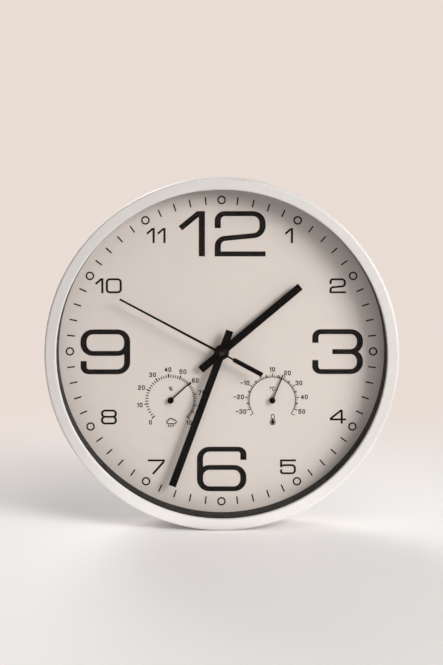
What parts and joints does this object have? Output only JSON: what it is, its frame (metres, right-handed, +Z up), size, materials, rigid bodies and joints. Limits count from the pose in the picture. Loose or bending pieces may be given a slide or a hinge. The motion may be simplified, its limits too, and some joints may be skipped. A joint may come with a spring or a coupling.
{
  "type": "wall clock",
  "caption": "Round white wall clock with flat glass, black bar hands, thermometer and hygrometer on the dial, a geared battery movement and a keyhole hanger.",
  "frame": {"origin": "centre of the case on the wall plane, on the axis of the hands", "axes": "+Z up to twelve o'clock, +X to three o'clock, +Y into the wall, so the dial faces -Y"},
  "size_m": [0.3, 0.0424, 0.3],
  "materials": {
    "case_white": "satin moulded",
    "lens_glass": "clear polished",
    "ring_black": "satin moulded",
    "dial_print": "matt print",
    "plate_plastic": "moulded",
    "screw_steel": "zinc plated",
    "movement_plastic": "moulded",
    "bushing_brass": "turned",
    "cell_wrap": "gloss sleeve",
    "contact_steel": "nickel plated",
    "board_laminate": "solder mask",
    "chip_black": "epoxy",
    "coil_copper": "enamelled wire",
    "motor_iron": "soft iron",
    "rotor_magnet": "sintered",
    "wheel_acetal": "moulded",
    "knob_plastic": "moulded",
    "hand_black": "black lacquer",
    "gauge_strip": "rolled strip",
    "gauge_plastic": "moulded"
  },
  "bodies": {
    "clock": {"front_frame": "case_white", "glass_lens": "lens_glass", "inner_ring": "ring_black", "dial": "dial_print", "back_plate": "plate_plastic", "back_screws": "screw_steel", "wall_hanger": "plate_plastic", "hanger_screws": "screw_steel", "movement_base": "movement_plastic", "movement_lid": "movement_plastic", "centre_bushing": "bushing_brass", "movement_washer": "bushing_brass", "movement_nut": "bushing_brass", "battery_cell": "cell_wrap", "positive_contact": "contact_steel", "negative_contact": "contact_steel", "circuit_board": "board_laminate", "quartz_crystal": "contact_steel", "drive_chip": "chip_black", "motor_coil": "coil_copper", "coil_core": "motor_iron", "stator": "motor_iron", "thermometer_coil": "gauge_strip", "thermometer_housing": "gauge_plastic", "hygrometer_coil": "gauge_strip", "hygrometer_housing": "gauge_plastic"},
    "second_hand": {"second_hand": "hand_black", "second_wheel": "wheel_acetal"},
    "fifth_wheel": {"fifth_wheel": "wheel_acetal"},
    "rotor": {"rotor": "rotor_magnet"},
    "third_wheel": {"third_wheel": "wheel_acetal"},
    "centre_wheel": {"centre_wheel": "wheel_acetal"},
    "minute_hand": {"minute_hand": "hand_black", "cannon_pinion": "wheel_acetal", "clutch_spring": "contact_steel"},
    "minute_wheel": {"minute_wheel": "wheel_acetal"},
    "hour_hand": {"hour_hand": "hand_black", "hour_wheel": "wheel_acetal"},
    "setting_knob": {"setting_knob": "knob_plastic"},
    "thermometer_needle": {"thermometer_needle": "hand_black"},
    "hygrometer_needle": {"hygrometer_needle": "hand_black"}
  },
  "joints": [
    {"name": "second_hand_turn", "type": "hinge", "parent": "clock", "child": "second_hand", "pos_m": [0, 0, 0], "axis": [0, 1, 0], "continuous": true},
    {"name": "fifth_wheel_turn", "type": "hinge", "parent": "clock", "child": "fifth_wheel", "pos_m": [-0.01061, 0, 0.00613], "axis": [0, 1, 0], "continuous": true},
    {"name": "rotor_turn", "type": "hinge", "parent": "clock", "child": "rotor", "pos_m": [-0.01589, 0, -0.00295], "axis": [0, 1, 0], "continuous": true},
    {"name": "third_wheel_turn", "type": "hinge", "parent": "clock", "child": "third_wheel", "pos_m": [0.01151, 0, -0.00419], "axis": [0, 1, 0], "continuous": true},
    {"name": "centre_wheel_turn", "type": "hinge", "parent": "clock", "child": "centre_wheel", "pos_m": [0, 0, 0], "axis": [0, 1, 0], "continuous": true},
    {"name": "minute_hand_turn", "type": "hinge", "parent": "clock", "child": "minute_hand", "pos_m": [0, 0, 0], "axis": [0, 1, 0], "continuous": true},
    {"name": "minute_wheel_turn", "type": "hinge", "parent": "clock", "child": "minute_wheel", "pos_m": [0.0048, 0, 0.00831], "axis": [0, 1, 0], "continuous": true},
    {"name": "hour_hand_turn", "type": "hinge", "parent": "clock", "child": "hour_hand", "pos_m": [0, 0, 0], "axis": [0, 1, 0], "continuous": true},
    {"name": "setting_knob_turn", "type": "hinge", "parent": "clock", "child": "setting_knob", "pos_m": [0.01415, 0, 0.01371], "axis": [0, 1, 0], "continuous": true},
    {"name": "thermometer_needle_turn", "type": "hinge", "parent": "clock", "child": "thermometer_needle", "pos_m": [0.0438, 0, -0.04225], "axis": [0, 1, 0], "range_deg": [-134.6, 89.4], "stiffness_Nm_per_rad": 0.0002, "deforming": ["thermometer_coil"]},
    {"name": "hygrometer_needle_turn", "type": "hinge", "parent": "clock", "child": "hygrometer_needle", "pos_m": [-0.0438, 0, -0.04225], "axis": [0, 1, 0], "range_deg": [-183.5, 89.5], "stiffness_Nm_per_rad": 0.0002, "deforming": ["hygrometer_coil"]}
  ],
  "couplings": [
    {"joint": "fifth_wheel_turn", "follows": "second_hand_turn", "ratio": -6},
    {"joint": "rotor_turn", "follows": "second_hand_turn", "ratio": 30},
    {"joint": "third_wheel_turn", "follows": "second_hand_turn", "ratio": -0.13333},
    {"joint": "centre_wheel_turn", "follows": "second_hand_turn", "ratio": 0.016667},
    {"joint": "minute_wheel_turn", "follows": "minute_hand_turn", "ratio": -0.33333},
    {"joint": "hour_hand_turn", "follows": "minute_hand_turn", "ratio": 0.083333},
    {"joint": "setting_knob_turn", "follows": "minute_hand_turn", "ratio": 0.66667}
  ]
}
